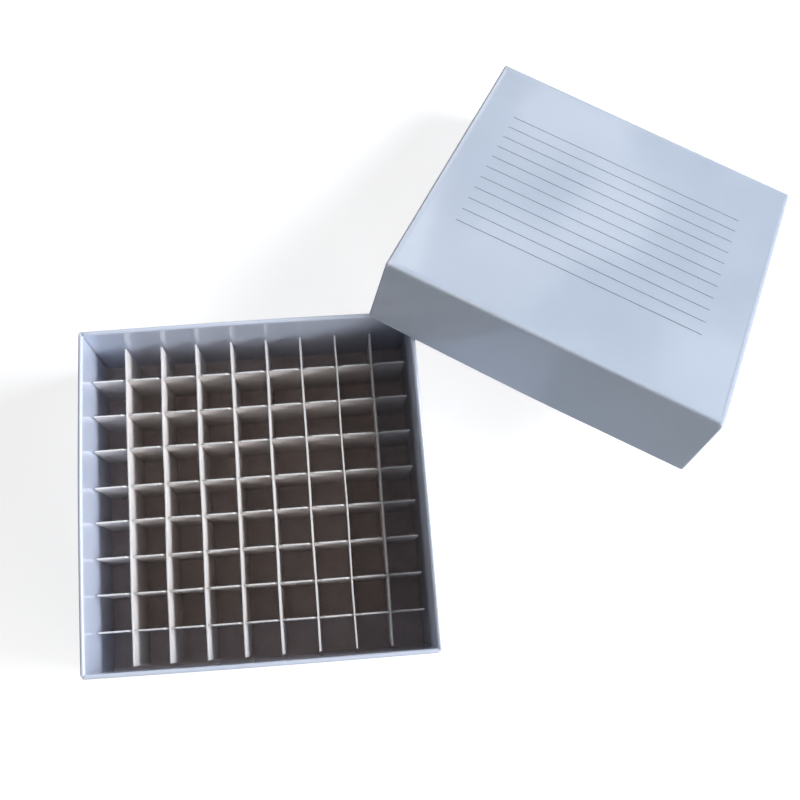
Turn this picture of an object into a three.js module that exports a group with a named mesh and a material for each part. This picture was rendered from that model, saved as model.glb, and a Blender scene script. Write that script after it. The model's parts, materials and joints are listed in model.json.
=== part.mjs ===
// Cryogenic storage box: a paper-wrapped board tray, its telescoping lid leaning against one
// corner, and a lift-out divider of interlocked card strips that makes nine by nine cells.
// Millimetres. The origin is the centre of the tray's underside, +Z is up, +Y is the back.

import * as THREE from "three";
import { ConvexGeometry } from "three/addons/geometries/ConvexGeometry.js";

// Wall build-up, from the outside in: wrap, glue, corner stay, glue, board, glue, wrap.
const WRAP = 0.2;
const GLUE = 0.1;
const STAY = 0.1;
const BOARD = 0.9;
const BOARD_INSET = WRAP + GLUE + STAY + GLUE;
const WALL = BOARD_INSET + BOARD + GLUE + WRAP;
const FLOOR = WRAP + GLUE + BOARD;

// The two trays. The lid slides down over the base with this clearance on every side.
const LID_WIDTH = 133.4;
const LID_HEIGHT = 31.8;
const LID_CLEARANCE = 0.3;
const BASE_WIDTH = LID_WIDTH - 2 * (WALL + LID_CLEARANCE);
const BASE_HEIGHT = 49.4;
const CORNER_RADIUS = 2.4;
const EDGE_RADIUS = 0.6;
const RIM_RADIUS = WALL / 2;
const RIM_STEPS = 8;
const CORNER_STEPS = 5;
const FOLD_GAP = 0.2;
const STAY_LEG = 12;

// The divider: equal strips, halved into each other, one layer with its slots up, one down.
const CELLS = 9;
const PITCH = (BASE_WIDTH - 2 * WALL) / CELLS;
const STRIP_HEIGHT = 32;
const STRIP_THICKNESS = 0.6;
const STRIP_END_GAP = 1;
const STRIP_LENGTH = BASE_WIDTH - 2 * (WALL + STRIP_END_GAP);
const STRIP_LIFT = FLOOR + GLUE;
const SLOT_WIDTH = 0.9;
const SLOT_OVERRUN = 0.15;
const FLARE_WIDTH = 1.8;
const FLARE_DEPTH = 1.5;

// The lid's rest place: its near rim on the base's back right corner, its far rim on the table.
// The corner where the lid's near and left walls meet stands over the base's back wall.
const LEAN_YAW = THREE.MathUtils.degToRad(-30.5);
const LEAN_GAP = 0.3;
const LEAN_TILT = Math.asin((BASE_HEIGHT + LEAN_GAP) / (LID_WIDTH - 2 * RIM_RADIUS));
const LEAN_CORNER_X = 49;
const LEAN_CORNER_Y = 63.5;
const LEAN_CORNER_Z =
  LID_WIDTH * Math.sin(LEAN_TILT) - RIM_RADIUS * (Math.sin(LEAN_TILT) + Math.cos(LEAN_TILT) - 1);

const COATED_WHITE = { color: 0xd3dbe8, roughness: 0.35 };
const GREY_BOARD = { color: 0x8a8078, roughness: 0.9 };
const STAY_PAPER = { color: 0xb79a72, roughness: 0.85 };
const WHITE_CARD = { color: 0xe6e2dc, roughness: 0.75 };

function part(name, geometry, look) {
  const mesh = new THREE.Mesh(geometry, new THREE.MeshStandardMaterial({ ...look, metalness: 0 }));
  mesh.name = name;
  return mesh;
}

// The corners of a square ring, anticlockwise from above. The ring lies `inset` inside the outer
// face, and its corner radius shrinks with it.
function ringPoints(width, inset) {
  const radius = CORNER_RADIUS - inset;
  const centre = width / 2 - CORNER_RADIUS;
  const points = [];
  for (let corner = 0; corner < 4; corner++) {
    const start = (corner * Math.PI) / 2;
    const x = Math.sign(Math.cos(start + Math.PI / 4)) * centre;
    const y = Math.sign(Math.sin(start + Math.PI / 4)) * centre;
    for (let step = 0; step <= CORNER_STEPS; step++) {
      const angle = start + (step / CORNER_STEPS) * (Math.PI / 2);
      points.push([x + radius * Math.cos(angle), y + radius * Math.sin(angle)]);
    }
  }
  return points;
}

// One closed skin through a list of [inset, z] rings, from the middle of the underside out, up
// and back in to the middle of the floor. The first and the last ring are filled flat.
function trayShell(width, profile) {
  const rings = profile.map(([inset, z]) => ringPoints(width, inset).map(([x, y]) => [x, y, z]));
  const count = rings[0].length;
  const last = (rings.length - 1) * count;
  const faces = [];
  for (let i = 1; i + 1 < count; i++) {
    faces.push(0, i + 1, i, last, last + i, last + i + 1);
  }
  for (let ring = 0; ring + 1 < rings.length; ring++) {
    for (let i = 0; i < count; i++) {
      const j = (i + 1) % count;
      const [a, b] = [ring * count + i, ring * count + j];
      faces.push(a, b, b + count, a, b + count, a + count);
    }
  }
  const geometry = new THREE.BufferGeometry();
  geometry.setAttribute("position", new THREE.Float32BufferAttribute(rings.flat(2), 3));
  geometry.setIndex(faces);
  const flat = geometry.toNonIndexed();
  flat.computeVertexNormals();
  return flat;
}

// Points of a circular arc in the [inset, z] plane, angles in turns of a half circle.
function arc(inset, z, radius, from, to, steps) {
  return Array.from({ length: steps + 1 }, (_, i) => {
    const angle = Math.PI * (from + ((to - from) * i) / steps);
    return [inset + radius * Math.cos(angle), z + radius * Math.sin(angle)];
  });
}

// The wrap: one sheet under the tray, up the outside, folded round over the rim and turned in
// down to the floor.
function wrapGeometry(width, height) {
  const foldHeight = height - RIM_RADIUS;
  const turnInFoot = FLOOR + GLUE;
  return trayShell(width, [
    ...arc(EDGE_RADIUS, EDGE_RADIUS, EDGE_RADIUS, 1.5, 1, 3),
    ...arc(RIM_RADIUS, foldHeight, RIM_RADIUS, 1, 0, RIM_STEPS),
    [WALL, turnInFoot],
    [WALL - WRAP, turnInFoot],
    ...arc(RIM_RADIUS, foldHeight, RIM_RADIUS - WRAP, 0, 1, RIM_STEPS),
    ...arc(EDGE_RADIUS, EDGE_RADIUS, EDGE_RADIUS - WRAP, 1, 1.5, 3),
  ]);
}

// One wall of the scored board, the one at +Y. Its foot is mitred to the floor with a gap along
// the score. Its ends slant, from where the corner's rounding starts to the neighbour's inner edge.
function boardWallGeometry(width, height) {
  const outer = width / 2 - BOARD_INSET;
  const inner = outer - BOARD;
  const rise = Math.sqrt((RIM_RADIUS - WRAP) ** 2 - (WALL - WRAP - GLUE - RIM_RADIUS) ** 2);
  const top = height - RIM_RADIUS + rise - GLUE;
  const points = [];
  for (const [x, y] of [
    [width / 2 - CORNER_RADIUS, outer],
    [inner - FOLD_GAP, inner],
  ]) {
    const bottom = WRAP + GLUE + (outer - y) + FOLD_GAP;
    for (const side of [-1, 1]) {
      points.push(new THREE.Vector3(side * x, y, bottom), new THREE.Vector3(side * x, y, top));
    }
  }
  return new ConvexGeometry(points);
}

// The floor of the scored board, mitred to its four walls, with its lower corners clipped.
function boardFloorGeometry(width) {
  const bottom = width / 2 - BOARD_INSET - FOLD_GAP;
  const top = bottom - BOARD;
  const clipped = width / 2 - CORNER_RADIUS;
  const points = [];
  for (const sideX of [-1, 1]) {
    for (const sideY of [-1, 1]) {
      points.push(
        new THREE.Vector3(sideX * bottom, sideY * clipped, WRAP + GLUE),
        new THREE.Vector3(sideX * clipped, sideY * bottom, WRAP + GLUE),
        new THREE.Vector3(sideX * top, sideY * top, FLOOR),
      );
    }
  }
  return new ConvexGeometry(points);
}

// A corner stay: a strip of paper tape folded round the outside of one corner of the board.
function stayGeometry(width, height) {
  const outer = width / 2 - WRAP - GLUE;
  const inner = outer - STAY;
  const centre = width / 2 - CORNER_RADIUS;
  const end = outer - STAY_LEG;
  const shape = new THREE.Shape();
  shape.moveTo(outer, end);
  shape.absarc(centre, centre, outer - centre, 0, Math.PI / 2, false);
  shape.lineTo(end, outer);
  shape.lineTo(end, inner);
  shape.absarc(centre, centre, inner - centre, Math.PI / 2, 0, true);
  shape.lineTo(inner, end);
  shape.closePath();
  const bottom = EDGE_RADIUS;
  const depth = height - RIM_RADIUS - bottom;
  const geometry = new THREE.ExtrudeGeometry(shape, {
    depth,
    bevelEnabled: false,
    curveSegments: CORNER_STEPS,
  });
  return geometry.translate(0, 0, bottom);
}

// A whole tray, open upwards, with its origin at the centre of its underside. The wall names go
// round anticlockwise from the one at +Y.
function trayGroup(name, width, height, floorName, wallNames) {
  const group = new THREE.Group();
  group.add(part(`${name}_wrap`, wrapGeometry(width, height), COATED_WHITE));
  group.add(part(`${name}_board_${floorName}`, boardFloorGeometry(width), GREY_BOARD));
  wallNames.forEach((wallName, i) => {
    const wall = part(`${name}_board_${wallName}`, boardWallGeometry(width, height), GREY_BOARD);
    const stay = part(`${name}_stay_${i + 1}`, stayGeometry(width, height), STAY_PAPER);
    wall.rotation.z = (i * Math.PI) / 2;
    stay.rotation.z = (i * Math.PI) / 2;
    group.add(wall, stay);
  });
  return group;
}

function crossingPlaces() {
  return Array.from({ length: CELLS - 1 }, (_, i) => (i - (CELLS - 2) / 2) * PITCH);
}

// One divider strip, standing in the XZ plane on z = 0, with a flared half-height slot open at
// the top edge for every strip that crosses it.
function stripGeometry() {
  const end = STRIP_LENGTH / 2;
  const halfSlot = SLOT_WIDTH / 2;
  const slotBottom = STRIP_HEIGHT / 2 - SLOT_OVERRUN;
  const flareBottom = STRIP_HEIGHT - FLARE_DEPTH;
  const shape = new THREE.Shape();
  shape.moveTo(end, STRIP_HEIGHT);
  for (const x of crossingPlaces().reverse()) {
    shape.lineTo(x + halfSlot + FLARE_WIDTH, STRIP_HEIGHT);
    shape.lineTo(x + halfSlot, flareBottom);
    shape.lineTo(x + halfSlot, slotBottom);
    shape.lineTo(x - halfSlot, slotBottom);
    shape.lineTo(x - halfSlot, flareBottom);
    shape.lineTo(x - halfSlot - FLARE_WIDTH, STRIP_HEIGHT);
  }
  shape.lineTo(-end, STRIP_HEIGHT);
  shape.lineTo(-end, 0);
  shape.lineTo(end, 0);
  shape.closePath();
  const geometry = new THREE.ExtrudeGeometry(shape, { depth: STRIP_THICKNESS, bevelEnabled: false });
  geometry.translate(0, 0, -STRIP_THICKNESS / 2);
  return geometry.rotateX(Math.PI / 2);
}

// The divider: row strips run left to right with their slots up, and column strips run front to
// back, upside down, hooked over them from above.
function dividerGroup() {
  const group = new THREE.Group();
  crossingPlaces().forEach((place, i) => {
    const row = part(`row_strip_${i + 1}`, stripGeometry(), WHITE_CARD);
    row.position.set(0, place, STRIP_LIFT);
    const column = part(`column_strip_${i + 1}`, stripGeometry(), WHITE_CARD);
    column.rotation.set(Math.PI, 0, Math.PI / 2);
    column.position.set(place, 0, STRIP_LIFT + STRIP_HEIGHT);
    group.add(row, column);
  });
  return group;
}

// The lid: a tray turned upside down, then leaned. The slope group's origin is the corner of the
// open rim that is over the base's back wall, its x runs along the near rim and its y down the
// slope.
function leaningLid() {
  const lid = trayGroup("lid", LID_WIDTH, LID_HEIGHT, "top", ["near", "left", "far", "right"]);
  lid.rotation.x = Math.PI;
  lid.position.set(LID_WIDTH / 2, LID_WIDTH / 2, LID_HEIGHT);
  const slope = new THREE.Group();
  slope.rotation.x = -LEAN_TILT;
  slope.add(lid);
  const heading = new THREE.Group();
  heading.rotation.z = LEAN_YAW;
  heading.position.set(LEAN_CORNER_X, LEAN_CORNER_Y, LEAN_CORNER_Z);
  heading.add(slope);
  return heading;
}

const box = new THREE.Group();
box.add(
  trayGroup("base", BASE_WIDTH, BASE_HEIGHT, "floor", ["back", "left", "front", "right"]),
  dividerGroup(),
  leaningLid(),
);

export default box;
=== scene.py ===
"""The looks of the cryogenic storage box: coated paper trays, card strips, ruled lines and a studio.

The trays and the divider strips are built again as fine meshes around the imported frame. Lengths are
in millimetres until a mesh is made, and in metres from there on.
"""

import json
import math
import random

import bmesh
import bpy
from mathutils import Matrix, Vector


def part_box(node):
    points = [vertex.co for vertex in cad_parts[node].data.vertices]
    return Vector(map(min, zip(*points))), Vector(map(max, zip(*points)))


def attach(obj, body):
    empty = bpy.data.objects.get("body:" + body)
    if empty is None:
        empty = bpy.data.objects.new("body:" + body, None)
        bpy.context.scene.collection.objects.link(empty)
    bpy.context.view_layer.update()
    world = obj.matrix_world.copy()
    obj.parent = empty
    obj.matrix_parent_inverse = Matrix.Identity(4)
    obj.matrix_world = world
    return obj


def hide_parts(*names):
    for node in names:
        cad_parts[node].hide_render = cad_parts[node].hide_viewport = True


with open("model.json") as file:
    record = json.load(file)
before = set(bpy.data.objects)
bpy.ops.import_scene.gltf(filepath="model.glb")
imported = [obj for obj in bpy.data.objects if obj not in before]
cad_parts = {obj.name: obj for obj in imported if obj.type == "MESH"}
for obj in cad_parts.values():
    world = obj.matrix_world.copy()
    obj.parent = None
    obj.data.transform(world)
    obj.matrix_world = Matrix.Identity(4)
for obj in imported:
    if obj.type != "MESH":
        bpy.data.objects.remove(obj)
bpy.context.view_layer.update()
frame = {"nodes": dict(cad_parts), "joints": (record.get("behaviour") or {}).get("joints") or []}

MM = 0.001

# Wall build-up of both trays
WRAP = 0.2
WALL = 1.7
FLOOR = 1.2
GLUE = 0.1
RIM_RADIUS = WALL / 2
EDGE_RADIUS = 1.2
TIGHTEST_CORNER = 0.12

# How a tray's walls lean and bow: the bow starts and is full at these distances from the outer
# face, and both grow towards the rim with these powers of the height
BOW_START = 12
BOW_FULL = 4
BOW_POWER = 1.6
SPLAY_POWER = 1.2

# Folds of the wrap: the pressed line beside a fold, the seam in each corner, the overlap of the
# paper. A reach is a pair of distances from the corner, along its diagonal or from its seam, over
# which a detail fades. The inner seam widens between two depths below the rim.
CREASE_INSET = 1.75
CREASE_WIDTH = 0.2
CREASE_DEPTH = 0.08
CREASE_REACH = (2.5, 6)
SEAM_WIDTH = 0.14
RIM_SEAM_DEPTH = 0.3
RIM_SEAM_REACH = (2.6, 2.2)
INNER_SEAM_REACH = (3.4, 2.8)
INNER_SEAM_OPENING = 0.22
INNER_SEAM_WIDENS = (10, 16)
OVERLAP = 0.11
OVERLAP_REACH = (0.4, 6)
RIM_WAVE = 0.05

# Wear, from 0 to 1: along an edge and what a corner adds to it, and how far a corner's wear reaches
EDGE_WEAR = (0.18, 0.6)
RIM_WEAR = (0.12, 0.5)
WORN_REACH = 2.5

# Divider strips: eight each way, and slots with flared mouths. A flare's knee is at these shares of
# its width and depth.
STRIPS = range(1, 9)
SLOT_WIDTH = 0.9
SLOT_OVERRUN = 0.15
FLARE_WIDTH = 1.9
FLARE_DEPTH = 1.7
FLARE_KNEE = (0.4, 0.42)
EDGE_SOFTENING = 0.07

# A strip's small sideways curve: the most that each part of it adds, the half length that its slope
# and swell run over, and its ripple's length. The fifth row stands a little to the front.
SLOPE, SWELL, RIPPLE = 0.22, 0.20, 0.12
WANDER_REACH = 62
RIPPLE_LENGTH = 58
ROW_SEED, COLUMN_SEED = 30, 60
ROW_OFFSETS = {5: -0.55}

# Ruled lines, in the lid's own frame
LINE_COUNT = 11
LINE_SPACING = 6.82
LINE_WIDTH = 0.29
LINE_LEFT = -52.5
LINE_RIGHT = 49.9
FIRST_LINE = 37.3
LINE_STEPS = 40
INK_HEIGHT = 0.02

# The floor as the camera sees it: its glow near the object, and where, in metres, it becomes the
# backdrop
FLOOR_REACH = 8.0
FLOOR_LIFT = 0.76
FLOOR_FADE = (0.38, 0.9)
BACKDROP = (0.86, 0.865, 0.875)

# The camera, nearly overhead: sensor and lens in millimetres, place in metres, turn in degrees
SENSOR_WIDTH = 36
LENS = 46.206
LENS_SHIFT = (0.025, 0.01875)
CAMERA_PLACE = (0.031403, -0.055656, 0.433353)
CAMERA_TURN = (11.952, -1.853, -4.402)

# Directions that the room is brightest towards, for all light and for the panes at the back
BRIGHT_SIDE = (0.55, 0.35, 0.75)
WINDOW_SIDE = (0.42, 0.85, 0.32)


# ---------------------------------------------------------------- frame places


def lean_rotation():
    """Axes of the leaning lid: x along its near rim, y down the slope, z out of its top."""
    joint = next(j for j in frame["joints"] if j["name"] == "lid_lift")
    out = Vector(joint["axis"]).normalized()
    yaw = math.atan2(-out.x, out.y)
    tilt = math.acos(out.z)
    return Matrix.Rotation(yaw, 3, "Z") @ Matrix.Rotation(-tilt, 3, "X")


def tray_place(node, rotation):
    """(matrix, width, height in mm) of a tray whose opening faces the rotation's +Z."""
    points = [rotation.transposed() @ v.co for v in frame["nodes"][node].data.vertices]
    low = Vector([min(p[i] for p in points) for i in range(3)])
    high = Vector([max(p[i] for p in points) for i in range(3)])
    centre = Vector(((low.x + high.x) / 2, (low.y + high.y) / 2, low.z))
    matrix = Matrix.Translation(rotation @ centre) @ rotation.to_4x4()
    return matrix, (high.x - low.x) / MM, (high.z - low.z) / MM


# ---------------------------------------------------------------- small helpers


def smoothstep(low, high, value):
    t = min(1.0, max(0.0, (value - low) / (high - low)))
    return t * t * (3 - 2 * t)


def bell(distance, width):
    return math.exp(-((distance / width) ** 2))


def object_from(name, bm, materials, body, node):
    """Makes the object from bm, in metres, and puts it on its body in the CAD node's stead."""
    mesh = bpy.data.meshes.new(name)
    bm.normal_update()
    bm.to_mesh(mesh)
    bm.free()
    for material in materials:
        mesh.materials.append(material)
    obj = bpy.data.objects.new(name, mesh)
    bpy.context.scene.collection.objects.link(obj)
    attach(obj, body)
    if node:
        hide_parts(node)
    return obj


# ---------------------------------------------------------------- materials


def shader(name):
    """A new material with its node tree emptied down to one Principled shader."""
    material = bpy.data.materials.new(name)
    material.use_nodes = True
    nodes = material.node_tree.nodes
    return material, nodes, material.node_tree.links, nodes["Principled BSDF"]


def add_node(nodes, kind, **values):
    node = nodes.new(kind)
    for key, value in values.items():
        if hasattr(node, key):
            setattr(node, key, value)
        else:
            node.inputs[key.replace("_", " ").title()].default_value = value
    return node


def in_millimetres(nodes, links, stretch=(1, 1, 1)):
    """Object coordinates in millimetres, so that every texture scale is per millimetre."""
    coordinates = nodes.new("ShaderNodeTexCoord")
    mapping = nodes.new("ShaderNodeMapping")
    mapping.inputs["Scale"].default_value = [s / MM for s in stretch]
    links.new(coordinates.outputs["Object"], mapping.inputs["Vector"])
    return mapping.outputs["Vector"]


def noise_of(nodes, links, vector, scale, detail=3.0, roughness=0.5):
    texture = add_node(nodes, "ShaderNodeTexNoise", Scale=scale, Detail=detail, Roughness=roughness)
    links.new(vector, texture.inputs["Vector"])
    return texture.outputs["Fac"]


def ramp(nodes, links, value, *stops):
    """A colour ramp through (place, colour) stops."""
    node = nodes.new("ShaderNodeValToRGB")
    elements = node.color_ramp.elements
    while len(elements) < len(stops):
        elements.new(0.5)
    for element, (place, colour) in zip(elements, stops):
        element.position = place
        element.color = (*colour, 1) if len(colour) == 3 else colour
    links.new(value, node.inputs["Fac"])
    return node.outputs["Color"]


def mix(nodes, links, blend, factor, first, second):
    node = nodes.new("ShaderNodeMix")
    node.data_type = "RGBA"
    node.blend_type = blend
    for socket, value in ((node.inputs[0], factor), (node.inputs[6], first), (node.inputs[7], second)):
        if isinstance(value, bpy.types.NodeSocket):
            links.new(value, socket)
        elif isinstance(value, tuple):
            socket.default_value = (*value, 1)
        else:
            socket.default_value = value
    return node.outputs[2]


def bump(nodes, links, height, distance_mm, strength, normal=None):
    node = nodes.new("ShaderNodeBump")
    node.inputs["Distance"].default_value = distance_mm * MM
    node.inputs["Strength"].default_value = strength
    links.new(height, node.inputs["Height"])
    if normal is not None:
        links.new(normal, node.inputs["Normal"])
    return node.outputs["Normal"]


def coated_paper(name, dark, light):
    """Film-coated white paper: cool white, faintly mottled, glossy, with whitened worn edges."""
    material, nodes, links, surface = shader(name)
    place = in_millimetres(nodes, links)
    clouds = ramp(
        nodes, links, noise_of(nodes, links, place, 0.022, 2.0),
        (0.35, dark), (0.65, light),
    )
    fibres = ramp(
        nodes, links, noise_of(nodes, links, place, 1.6, 4.0, 0.6),
        (0.3, (0.965, 0.965, 0.97)), (0.7, (1, 1, 1)),
    )
    paper = mix(nodes, links, "MULTIPLY", 1.0, clouds, fibres)
    wear = nodes.new("ShaderNodeAttribute")
    wear.attribute_name = "wear"
    patchy = ramp(
        nodes, links, noise_of(nodes, links, place, 0.9, 3.0),
        (0.4, (0, 0, 0)), (0.62, (1, 1, 1)),
    )
    worn = mix(nodes, links, "MULTIPLY", 1.0, wear.outputs["Color"], patchy)
    colour = mix(nodes, links, "MIX", worn, paper, (0.80, 0.82, 0.86))
    links.new(colour, surface.inputs["Base Color"])
    sheen_variation = ramp(
        nodes, links, noise_of(nodes, links, place, 0.05, 3.0),
        (0.3, (0.30, 0.30, 0.30)), (0.7, (0.42, 0.42, 0.42)),
    )
    roughness = mix(nodes, links, "MIX", worn, sheen_variation, (0.7, 0.7, 0.7))
    links.new(roughness, surface.inputs["Roughness"])
    surface.inputs["Coat Weight"].default_value = 1.0
    surface.inputs["Coat IOR"].default_value = 1.5
    surface.inputs["Coat Roughness"].default_value = 0.08
    surface.inputs["Coat Tint"].default_value = (0.96, 0.97, 1, 1)
    film = bump(nodes, links, noise_of(nodes, links, place, 0.035, 2.0), 1.0, 0.5)
    grain = bump(nodes, links, noise_of(nodes, links, place, 0.5, 3.0), 0.02, 0.25, film)
    links.new(grain, surface.inputs["Normal"])
    return material


def white_card(name, light, dark, roughness):
    """Card of the divider strips: warm white, with fibres along the sheet."""
    material, nodes, links, surface = shader(name)
    place = in_millimetres(nodes, links)
    streaks = in_millimetres(nodes, links, (0.25, 0.25, 1))
    clouds = ramp(nodes, links, noise_of(nodes, links, place, 0.09, 3.0), (0.3, dark), (0.7, light))
    fibres = ramp(
        nodes, links, noise_of(nodes, links, streaks, 2.2, 5.0, 0.65),
        (0.3, (0.93, 0.92, 0.91)), (0.65, (1, 1, 1)),
    )
    links.new(mix(nodes, links, "MULTIPLY", 1.0, clouds, fibres), surface.inputs["Base Color"])
    surface.inputs["Roughness"].default_value = roughness
    surface.inputs["Specular IOR Level"].default_value = 0.35
    links.new(
        bump(nodes, links, noise_of(nodes, links, place, 2.5, 4.0), 0.04, 0.35),
        surface.inputs["Normal"],
    )
    return material


def grey_board():
    """Uncoated recycled board: warm grey with dark and light fibre specks."""
    material, nodes, links, surface = shader("grey_board")
    place = in_millimetres(nodes, links)
    clouds = ramp(
        nodes, links, noise_of(nodes, links, place, 0.12, 4.0),
        (0.3, (0.76, 0.655, 0.62)), (0.7, (0.83, 0.725, 0.69)),
    )
    specks = nodes.new("ShaderNodeTexVoronoi")
    specks.inputs["Scale"].default_value = 0.8
    links.new(place, specks.inputs["Vector"])
    dots = ramp(
        nodes, links, specks.outputs["Distance"],
        (0.05, (0.72, 0.68, 0.66)), (0.16, (1, 1, 1)),
    )
    fibres = ramp(
        nodes, links, noise_of(nodes, links, in_millimetres(nodes, links, (0.6, 1, 1)), 1.1, 6.0, 0.6),
        (0.3, (0.92, 0.91, 0.9)), (0.7, (1.0, 1.0, 1.0)),
    )
    tinted = mix(nodes, links, "MULTIPLY", 1.0, clouds, fibres)
    links.new(mix(nodes, links, "MULTIPLY", 0.6, tinted, dots), surface.inputs["Base Color"])
    surface.inputs["Roughness"].default_value = 0.9
    links.new(
        bump(nodes, links, noise_of(nodes, links, place, 1.8, 5.0), 0.08, 0.5),
        surface.inputs["Normal"],
    )
    return material


def kraft_tape():
    """Brown gummed paper tape of the corner stays."""
    material, nodes, links, surface = shader("kraft_tape")
    ribs = in_millimetres(nodes, links, (1, 1, 0.15))
    tone = ramp(
        nodes, links, noise_of(nodes, links, ribs, 1.5, 5.0, 0.6),
        (0.3, (0.42, 0.29, 0.17)), (0.7, (0.56, 0.41, 0.26)),
    )
    links.new(tone, surface.inputs["Base Color"])
    surface.inputs["Roughness"].default_value = 0.75
    links.new(
        bump(nodes, links, noise_of(nodes, links, ribs, 2.0, 4.0), 0.03, 0.4),
        surface.inputs["Normal"],
    )
    return material


def ruling_ink():
    """Dark blue-grey printed line, a little uneven in strength."""
    material, nodes, links, surface = shader("ruling_ink")
    place = in_millimetres(nodes, links)
    tone = ramp(
        nodes, links, noise_of(nodes, links, place, 0.35, 4.0),
        (0.3, (0.045, 0.055, 0.08)), (0.7, (0.08, 0.095, 0.125)),
    )
    links.new(tone, surface.inputs["Base Color"])
    surface.inputs["Roughness"].default_value = 0.4
    return material


def pale_floor():
    """Matt white sweep that glows for the camera only, so that its shadows stay pale."""
    material, nodes, links, surface = shader("pale_floor")
    place = in_millimetres(nodes, links)
    tone = ramp(
        nodes, links, noise_of(nodes, links, place, 0.004, 2.0),
        (0.3, (0.58, 0.58, 0.585)), (0.7, (0.62, 0.62, 0.62)),
    )
    links.new(tone, surface.inputs["Base Color"])
    surface.inputs["Roughness"].default_value = 0.9
    surface.inputs["Specular IOR Level"].default_value = 0.0
    is_camera = nodes.new("ShaderNodeLightPath").outputs["Is Camera Ray"]
    lift = add_node(nodes, "ShaderNodeMath", operation="MULTIPLY")
    lift.inputs[1].default_value = FLOOR_LIFT
    links.new(is_camera, lift.inputs[0])
    surface.inputs["Emission Color"].default_value = (1, 1, 1, 1)
    links.new(lift.outputs["Value"], surface.inputs["Emission Strength"])
    distance = add_node(nodes, "ShaderNodeVectorMath", operation="LENGTH")
    links.new(nodes.new("ShaderNodeNewGeometry").outputs["Position"], distance.inputs[0])
    fade = add_node(nodes, "ShaderNodeMapRange", interpolation_type="SMOOTHSTEP")
    for socket, value in zip(fade.inputs[1:3], FLOOR_FADE):
        socket.default_value = value
    links.new(distance.outputs["Value"], fade.inputs["Value"])
    far = add_node(nodes, "ShaderNodeMath", operation="MULTIPLY")
    links.new(fade.outputs["Result"], far.inputs[0])
    links.new(is_camera, far.inputs[1])
    backdrop = nodes.new("ShaderNodeEmission")
    backdrop.inputs["Color"].default_value = (*BACKDROP, 1)
    blended = nodes.new("ShaderNodeMixShader")
    for socket, source in zip(blended.inputs, (far.outputs[0], surface.outputs[0], backdrop.outputs[0])):
        links.new(source, socket)
    links.new(blended.outputs[0], nodes["Material Output"].inputs["Surface"])
    return material


# ---------------------------------------------------------------- wrapped trays

# Where a ring's points are: degrees round a corner, distances from its end, steps between those
CORNER_ANGLES = (0, 20, 32, 38, 42, 45, 48, 52, 58, 70, 90)
NEAR_CORNER = (0.12, 0.3, 0.6, 1.2, 2.4, 4.5, 8.0)
SIDE_STEPS = 30

# Rings of the wrap: insets on the underside from the middle out, then steps of each stretch
UNDERSIDE_INSETS = (9, 6, 4, 3, 2.4, 2.1, 1.9, 1.75, 1.6, 1.45, 1.3)
EDGE_STEPS = 7
WALL_STEPS = 14
RIM_STEPS = 14
HIDDEN_TAIL = 1.5

# Lengths that a hidden wall piece is cut into before it is bowed
CUT_LENGTH = 6.3


def ring(width, corner_radii, inset):
    """Points of a square ring, anticlockwise from where the back right corner's rounding starts."""
    half = width / 2 - inset
    points = []
    for corner in range(4):
        turn = Matrix.Rotation(corner * math.pi / 2, 2)
        radius = max(corner_radii[corner] - inset, TIGHTEST_CORNER)
        next_radius = max(corner_radii[(corner + 1) % 4] - inset, TIGHTEST_CORNER)
        reach, end = half - radius, half - next_radius
        for degrees in CORNER_ANGLES:
            angle = math.radians(degrees)
            around = Vector((math.cos(angle), math.sin(angle)))
            points.append(turn @ (Vector((reach, reach)) + radius * around))
        first, last = reach - NEAR_CORNER[-1], NEAR_CORNER[-1] - end
        along = [reach - d for d in NEAR_CORNER]
        along += [first + (last - first) * i / SIDE_STEPS for i in range(1, SIDE_STEPS)]
        along += [d - end for d in reversed(NEAR_CORNER)]
        points += [turn @ Vector((x, half)) for x in along]
    return points


def arc(inset, z, radius, start, end, steps):
    """[(inset, z)] along a circular arc, angles in degrees."""
    angles = [math.radians(start + (end - start) * i / steps) for i in range(steps + 1)]
    return [(inset + radius * math.cos(a), z + radius * math.sin(a)) for a in angles]


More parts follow.
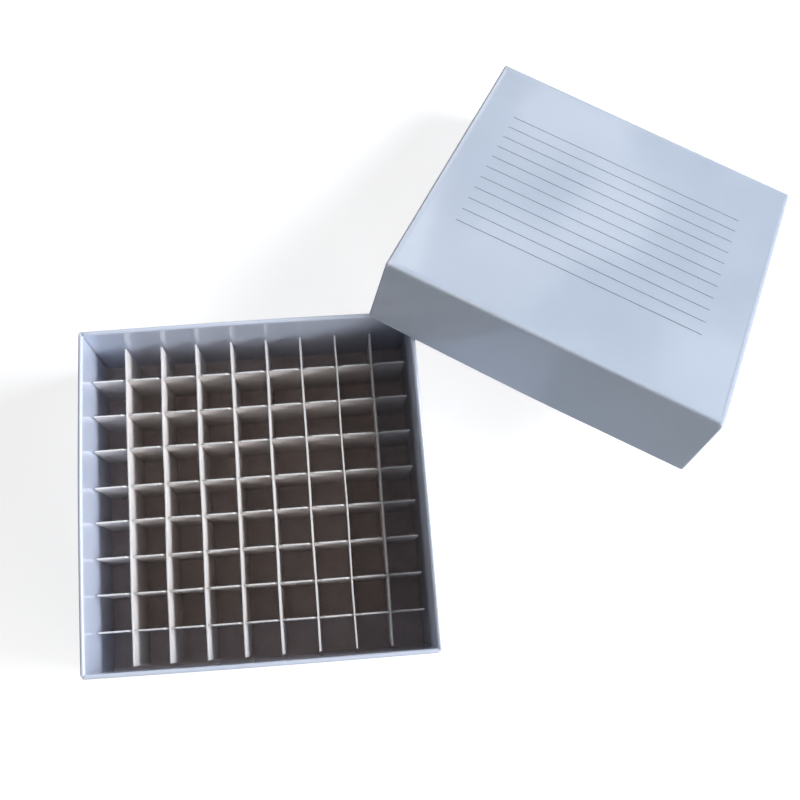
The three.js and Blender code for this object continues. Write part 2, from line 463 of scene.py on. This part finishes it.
class Tray:
    """A wrapped tray in its own frame: millimetres, +Z out of its opening, origin under its middle.

    Corner radii, foot and splay go anticlockwise from the corner at +X +Y. Foot and splay are how
    far that corner stands out of true, at the closed end and at the rim. Bows are how far the walls
    at +X, +Y, -X and -Y bulge outwards at the rim. A dent is (place, radius, depth, direction).
    """

    def __init__(self, name, rotation, corner_radii, bows, foot, splay, dents):
        self.name = name
        self.corner_radii = corner_radii
        self.foot, self.splay = foot, splay
        self.matrix, self.width, self.height = tray_place(f"{name}_wrap", rotation)
        self.half = self.width / 2
        self.right, self.back, self.left, self.front = bows
        self.dents = dents

    def bend(self, point):
        """Where a point goes in the tray as it really stands: rim corners pushed out, walls bowed."""
        x, y, z = point
        rise = max(0.0, z / self.height)
        east, north = (0.5 + c / self.width for c in (x, y))
        moved = Vector((x, y, z))
        shares = (east * north, (1 - east) * north, (1 - east) * (1 - north), east * (1 - north))
        for foot, rim, share in zip(self.foot, self.splay, shares):
            moved.xy += share * Vector(foot).lerp(Vector(rim), rise**SPLAY_POWER)
        for axis, along, plus, minus in ((0, y, self.right, self.left), (1, x, self.back, self.front)):
            reach = point[axis]
            bow = plus if reach > 0 else -minus
            middle = math.cos(math.pi / 2 * min(1, abs(along) / self.half))
            near_wall = smoothstep(self.half - BOW_START, self.half - BOW_FULL, abs(reach))
            moved[axis] += bow * rise**BOW_POWER * near_wall * middle
        return moved

    def profile(self):
        """[(inset, z, zone)] of the wrap, from the underside round the outside and in to its foot."""
        fold = self.height - RIM_RADIUS
        foot = FLOOR + GLUE
        up = [EDGE_RADIUS + (fold - EDGE_RADIUS) * i / WALL_STEPS for i in range(1, WALL_STEPS)]
        down = [fold + (foot - fold) * i / WALL_STEPS for i in range(1, WALL_STEPS + 1)]
        rings = [(inset, 0.0, "face") for inset in UNDERSIDE_INSETS]
        rings += [(*p, "edge") for p in arc(EDGE_RADIUS, EDGE_RADIUS, EDGE_RADIUS, 270, 180, EDGE_STEPS)]
        rings += [(0.0, z, "outside") for z in up]
        rings += [(*p, "rim") for p in arc(RIM_RADIUS, fold, RIM_RADIUS, 180, 0, RIM_STEPS)]
        rings += [(WALL, z, "inside") for z in down]
        return rings + [(WALL - WRAP, foot, "hidden"), (WALL - WRAP, foot + HIDDEN_TAIL, "hidden")]

    def fold_detail(self, point, zone):
        """(shift, wear) that the folds, seams and dents give to a point of the wrap."""
        x, y, z = point
        side_x, side_y = math.copysign(1, x), math.copysign(1, y)
        a, b = self.half - side_x * x, self.half - side_y * y
        across, along = (a - b) / math.sqrt(2), (a + b) / math.sqrt(2)
        shift = Vector((0, 0, 0))
        near_corner = bell(max(a, b), WORN_REACH)
        wear = 0.0
        if zone == "face":
            crease = CREASE_DEPTH * bell(min(a, b) - CREASE_INSET, CREASE_WIDTH)
            shift.z -= crease * smoothstep(*CREASE_REACH, along)
        if zone == "edge":
            wear = EDGE_WEAR[0] + EDGE_WEAR[1] * near_corner
        if zone == "rim":
            shift.z -= RIM_SEAM_DEPTH * bell(across, SEAM_WIDTH) * smoothstep(*RIM_SEAM_REACH, along)
            from_seam = across * side_x * side_y
            if from_seam > 0.05:
                shift.z += OVERLAP * (1 - smoothstep(*OVERLAP_REACH, from_seam))
            shift.z += RIM_WAVE * math.sin(x * 0.11 + 1.3) * math.cos(y * 0.09) * (1 - near_corner)
            wear = RIM_WEAR[0] + RIM_WEAR[1] * near_corner
        if zone == "inside":
            start, full = (self.height - depth for depth in INNER_SEAM_WIDENS)
            width = SEAM_WIDTH + INNER_SEAM_OPENING * smoothstep(start, full, z)
            seam = (0.2 + 1.7 * width) * bell(across, width) * smoothstep(*INNER_SEAM_REACH, along)
            shift += seam * Vector((side_x, side_y, 0)) / math.sqrt(2)
        for place, radius, depth, towards in self.dents:
            near = bell((Vector(point) - Vector(place)).length, radius)
            shift += depth * near * Vector(towards).normalized()
        return shift, min(1.0, wear)

    def skin(self):
        """The wrap as a bmesh in metres, in the frame of the whole object."""
        bm = bmesh.new()
        wear_layer = bm.verts.layers.float.new("wear")
        rings = []
        for inset, z, zone in self.profile():
            made = []
            for flat in ring(self.width, self.corner_radii, inset):
                place = (flat.x, flat.y, z)
                shift, wear = self.fold_detail(place, zone)
                vert = bm.verts.new(self.matrix @ ((self.bend(place) + shift) * MM))
                vert[wear_layer] = wear
                made.append(vert)
            rings.append(made)
        bm.faces.new(list(reversed(rings[0])))
        count = len(rings[0])
        for lower, upper in zip(rings, rings[1:]):
            for i in range(count):
                j = (i + 1) % count
                bm.faces.new((lower[i], lower[j], upper[j], upper[i]))
        return bm

    def bent_copy(self, node):
        """The mesh of a hidden CAD piece in a wall, cut into short lengths and bowed with its wall."""
        bm = bmesh.new()
        bm.from_mesh(frame["nodes"][node].data)
        bm.transform(Matrix.Scale(1 / MM, 4) @ self.matrix.inverted())
        for axis in (Vector((1, 0, 0)), Vector((0, 1, 0)), Vector((0, 0, 1))):
            reaches = [v.co.dot(axis) for v in bm.verts]
            cut = math.floor(min(reaches)) + CUT_LENGTH
            while cut < max(reaches):
                everything = bm.verts[:] + bm.edges[:] + bm.faces[:]
                bmesh.ops.bisect_plane(bm, geom=everything, plane_co=axis * cut, plane_no=axis)
                cut += CUT_LENGTH
        for vert in bm.verts:
            vert.co = self.matrix @ (self.bend(vert.co) * MM)
        return bm


def finish_shading(obj, degrees):
    obj.data.shade_smooth()
    obj.data.set_sharp_from_angle(angle=math.radians(degrees))


def soften(obj, width_mm, segments):
    bevel = obj.modifiers.new("softened edges", "BEVEL")
    bevel.width = width_mm * MM
    bevel.segments = segments
    bevel.limit_method = "ANGLE"
    bevel.angle_limit = math.radians(50)


def build_tray(tray, body, walls, floor, paper, board, tape):
    """The tray's wrap, board walls and corner stays, and the look of its carried-over board floor."""
    node = f"{tray.name}_wrap"
    wrap = object_from(f"{node}_skin", tray.skin(), [paper], body, node)
    finish_shading(wrap, 40)
    for wall in walls:
        node = f"{tray.name}_board_{wall}"
        object_from(f"{node}_bowed", tray.bent_copy(node), [board], body, node)
    for i in range(1, 5):
        node = f"{tray.name}_stay_{i}"
        object_from(f"{node}_bowed", tray.bent_copy(node), [tape], body, node)
    carried = frame["nodes"][f"{tray.name}_board_{floor}"]
    carried.data.materials.clear()
    carried.data.materials.append(board)


# ---------------------------------------------------------------- divider strips


def strip_wander(seed, offset):
    """A card strip's sideways curve: a function from the place along it to its offset."""
    pick = random.Random(seed)
    slope, swell, ripple = (pick.uniform(-1, 1) for _ in range(3))
    phase = pick.uniform(0, math.tau)

    def wander(along):
        return (
            offset + SLOPE * slope * along / WANDER_REACH
            + SWELL * swell * math.cos(along * math.pi / (2 * WANDER_REACH))
            + RIPPLE * ripple * math.sin(along * math.tau / RIPPLE_LENGTH + phase)
        )

    return wander


def strip_mesh(length, height, thickness, slots, place):
    """One strip: cells of card between slot mouths, extruded to its thickness.

    place(along, up, side) gives the point, with side as the distance from the strip's middle.
    """
    slot_bottom = height / 2 - SLOT_OVERRUN
    tops = {-length / 2: (height, height), length / 2: (height, height)}
    for centre in slots:
        low, high = centre - SLOT_WIDTH / 2, centre + SLOT_WIDTH / 2
        tops[low - FLARE_WIDTH] = tops[high + FLARE_WIDTH] = (height, height)
        out, down = FLARE_KNEE[0] * FLARE_WIDTH, FLARE_KNEE[1] * FLARE_DEPTH
        tops[low - out] = tops[high + out] = (height - down,) * 2
        tops[low] = (height - FLARE_DEPTH, None)
        tops[high] = (None, height - FLARE_DEPTH)
    for start, end in zip([-length / 2, *slots], [*slots, length / 2]):
        for i in (1, 2, 3):
            tops[start + (end - start) * (0.3 + 0.1 * i)] = (height, height)
    bm = bmesh.new()
    levels = {}

    def corner(along, up):
        key = (round(along, 4), round(up, 4))
        if key not in levels:
            levels[key] = bm.verts.new((along, up, 0))
        return levels[key]

    stations = sorted(tops)
    for a, b in zip(stations, stations[1:]):
        top_a, top_b = tops[a][1], tops[b][0]
        bm.faces.new((corner(a, 0), corner(b, 0), corner(b, slot_bottom), corner(a, slot_bottom)))
        if top_a is not None and top_b is not None:
            low_a, low_b = corner(a, slot_bottom), corner(b, slot_bottom)
            bm.faces.new((low_a, low_b, corner(b, top_b), corner(a, top_a)))
    grown = bmesh.ops.extrude_face_region(bm, geom=bm.faces[:])
    far = {g for g in grown["geom"] if isinstance(g, bmesh.types.BMVert)}
    for vert in bm.verts:
        side = 1 if vert in far else -1
        vert.co = Vector(place(vert.co.x, vert.co.y, side * thickness / 2)) * MM
    bmesh.ops.recalc_face_normals(bm, faces=bm.faces[:])
    return bm


def mark_edges(bm, across):
    """Gives the cut edges of a strip the second material."""
    bm.normal_update()
    for face in bm.faces:
        face.material_index = 0 if abs(face.normal.dot(across)) > 0.7 else 1


def build_divider(card, edge_card_painted_lit):
    """The interlocked strips: rows with their slots up, columns with their slots down."""
    low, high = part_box("row_strip_1")
    length, thickness, height = (high - low) / MM
    lift = low.z / MM
    rows, columns = [], []
    for i in STRIPS:
        low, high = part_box(f"row_strip_{i}")
        wander = strip_wander(ROW_SEED + i, ROW_OFFSETS.get(i, 0.0))
        rows.append(((low.y + high.y) / 2 / MM, wander))
        low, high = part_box(f"column_strip_{i}")
        columns.append(((low.x + high.x) / 2 / MM, strip_wander(COLUMN_SEED + i, 0.0)))
    for i, (row, wander) in enumerate(rows, 1):
        bm = strip_mesh(
            length, height, thickness, [column + column_wander(row) for column, column_wander in columns],
            lambda along, up, side: (along, row + wander(along) + side, lift + up),
        )
        mark_edges(bm, Vector((0, 1, 0)))
        node = f"row_strip_{i}"
        strip = object_from(f"{node}_card", bm, [card, edge_card_painted_lit], "divider_rows", node)
        soften(strip, EDGE_SOFTENING, 1)
    for i, (column, wander) in enumerate(columns, 1):
        bm = strip_mesh(
            length, height, thickness, [row + row_wander(column) for row, row_wander in rows],
            lambda along, up, side: (column + wander(along) + side, along, lift + height - up),
        )
        mark_edges(bm, Vector((1, 0, 0)))
        node = f"column_strip_{i}"
        strip = object_from(f"{node}_card", bm, [card, edge_card_painted_lit], f"column_{i}", node)
        soften(strip, EDGE_SOFTENING, 1)


# ---------------------------------------------------------------- ruled lines


def ruled_lines(lid, ink):
    """Printed writing lines on the lid's top, as thin ribbons of ink of slightly uneven width."""
    pick = random.Random(5)
    bm = bmesh.new()
    for i in range(LINE_COUNT):
        y = i * LINE_SPACING - FIRST_LINE
        previous = None
        for step in range(LINE_STEPS + 1):
            x = LINE_LEFT + (LINE_RIGHT - LINE_LEFT) * step / LINE_STEPS
            half = LINE_WIDTH / 2 * pick.uniform(0.9, 1.06)
            sides = [Vector((x, y + offset, -INK_HEIGHT)) for offset in (-half, half)]
            pair = [bm.verts.new(lid.matrix @ (side * MM)) for side in sides]
            if previous:
                bm.faces.new((previous[0], previous[1], pair[1], pair[0]))
            previous = pair
    object_from("lid_ruled_lines", bm, [ink], "lid", None)


# ---------------------------------------------------------------- studio


def add_floor(material):
    bm = bmesh.new()
    corners = ((-1, -1), (1, -1), (1, 1), (-1, 1))
    bm.faces.new([bm.verts.new((x * FLOOR_REACH, y * FLOOR_REACH, 0)) for x, y in corners])
    mesh = bpy.data.meshes.new("floor")
    bm.to_mesh(mesh)
    bm.free()
    mesh.materials.append(material)
    floor = bpy.data.objects.new("floor", mesh)
    bpy.context.scene.collection.objects.link(floor)


def add_light(name, elevation, azimuth, distance, size, power, colour):
    """A (wide, tall) area light aimed at the origin, placed by angles in degrees, azimuth from +X."""
    light = bpy.data.lights.new(name, "AREA")
    light.shape = "RECTANGLE"
    light.size, light.size_y = size
    light.energy = power
    light.color = colour
    obj = bpy.data.objects.new(name, light)
    heading = Matrix.Rotation(math.radians(azimuth), 3, "Z")
    out = heading @ Matrix.Rotation(math.radians(-elevation), 3, "Y") @ Vector((1, 0, 0))
    obj.location = out * distance
    obj.rotation_euler = (-out).to_track_quat("-Z", "Y").to_euler()
    bpy.context.scene.collection.objects.link(obj)


def set_world():
    """An almost dark room, with soft panes of light that only glossy reflections see."""
    world = bpy.data.worlds.new("studio")
    bpy.context.scene.world = world
    world.use_nodes = True
    nodes, links = world.node_tree.nodes, world.node_tree.links
    background = nodes["Background"]
    direction = nodes.new("ShaderNodeTexCoord").outputs["Generated"]
    towards = nodes.new("ShaderNodeVectorMath")
    towards.operation = "DOT_PRODUCT"
    towards.inputs[1].default_value = Vector(BRIGHT_SIDE).normalized()
    links.new(direction, towards.inputs[0])
    tone = ramp(
        nodes, links, towards.outputs["Value"],
        (0.0, (0.002, 0.002, 0.002)), (0.35, (0.003, 0.003, 0.003)),
        (0.75, (0.008, 0.008, 0.009)),
    )
    window = nodes.new("ShaderNodeVectorMath")
    window.operation = "DOT_PRODUCT"
    window.inputs[1].default_value = Vector(WINDOW_SIDE).normalized()
    links.new(direction, window.inputs[0])
    reach = ramp(nodes, links, window.outputs["Value"], (0.75, (0, 0, 0)), (0.95, (1, 1, 1)))
    panes = ramp(
        nodes, links, noise_of(nodes, links, direction, 9.0, 1.0),
        (0.45, (0.1, 0.1, 0.1)), (0.53, (1.6, 1.6, 1.65)),
    )
    room = ramp(
        nodes, links, noise_of(nodes, links, direction, 3.5, 1.0),
        (0.45, (0.05, 0.05, 0.055)), (0.50, (1.5, 1.5, 1.57)),
    )
    lights = nodes.new("ShaderNodeLightPath")
    glare = mix(nodes, links, "MIX", reach, room, panes)
    glare = mix(nodes, links, "MULTIPLY", 1.0, glare, lights.outputs["Is Glossy Ray"])
    glossy = mix(nodes, links, "ADD", 1.0, tone, glare)
    shown = mix(nodes, links, "MIX", lights.outputs["Is Camera Ray"], glossy, BACKDROP)
    links.new(shown, background.inputs["Color"])
    background.inputs["Strength"].default_value = 1.0


def add_camera():
    data = bpy.data.cameras.new("camera")
    data.sensor_width = SENSOR_WIDTH
    data.lens = LENS
    data.shift_x, data.shift_y = LENS_SHIFT
    camera = bpy.data.objects.new("camera", data)
    camera.location = CAMERA_PLACE
    camera.rotation_euler = [math.radians(angle) for angle in CAMERA_TURN]
    bpy.context.scene.collection.objects.link(camera)
    bpy.context.scene.camera = camera


# ---------------------------------------------------------------- everything in place

# One coated paper made as two copies: the base's is painted lighter and the lid's darker, painted light
# and shade that even out how differently the lamps reach the open tray and the lid. Their blue is partly
# the paper's own cool white and partly painted light, the bluish daylight that the coat reflects.
base_paper_painted_lighter = coated_paper("coated_paper_base_painted_lighter", (0.75, 0.815, 0.93), (0.80, 0.86, 0.965))
lid_paper_painted_darker = coated_paper("coated_paper_lid_painted_darker", (0.545, 0.615, 0.695), (0.58, 0.65, 0.73))
card = white_card("white_card", (0.91, 0.87, 0.85), (0.86, 0.81, 0.78), 0.6)
# The cut edges get a copy of the card painted a little whiter and cooler: painted light, for the full
# bluish light that the strips' top edges catch.
edge_card_painted_lit = white_card("white_card_edge_painted_lit", (0.90, 0.89, 0.87), (0.84, 0.825, 0.80), 0.7)
board = grey_board()
tape = kraft_tape()

base = Tray(
    "base", Matrix.Identity(3), (1.3, 1.1, 1.3, 2.2), bows=(0.2, 0.5, 0.6, 0.3), foot=((0, 0),) * 4,
    splay=((1.3, 0.56), (1.1, 0.56), (-0.4, -0.4), (1.7, -0.94)),
    dents=[
        ((-63.6, 63.6, 49.4), 0.55, 0.7, (0.5, -0.5, -1)),
        ((-64.3, -64.0, 48.6), 0.6, 0.6, (1, 0.6, -0.4)),
        ((63.0, -63.0, 48.9), 0.45, 0.7, (0, 0, -1)),
    ],
)
lid = Tray(
    "lid", lean_rotation() @ Matrix.Rotation(math.pi, 3, "X"), (0.8,) * 4, bows=(0.1, 0.9, 0.1, 0.0),
    foot=((0.9, -0.2), (-0.4, -0.4), (-0.3, -0.5), (0.6, -0.5)),
    splay=((-0.2, 1.7), (-0.7, 0.1), (-0.3, 0.3), (0.8, 0.3)),
    dents=[((66.2, 66.2, 0.7), 0.7, 0.5, (-1, -1, 1))],
)
build_tray(base, "base", ("back", "left", "front", "right"), "floor", base_paper_painted_lighter, board, tape)
build_tray(lid, "lid", ("near", "left", "far", "right"), "top", lid_paper_painted_darker, board, tape)
build_divider(card, edge_card_painted_lit)
ruled_lines(lid, ruling_ink())

add_floor(pale_floor())
set_world()
add_light("key", 36, 0, 2.5, (1.5, 0.7), 65, (0.94, 0.975, 1.05))
add_light("front_right", 22, -45, 2.3, (1.8, 0.9), 18, (1.0, 1.0, 1.0))
add_light("back", 20, 95, 2.3, (2.4, 0.9), 12, (1.0, 1.0, 1.0))
add_light("left", 22, 180, 2.3, (2.0, 0.6), 6, (1.0, 1.0, 1.0))
add_light("overhead", 88, 90, 2.3, (1.5, 1.5), 1, (1.0, 1.0, 1.0))
add_camera()
bpy.context.scene.view_settings.view_transform = "Standard"
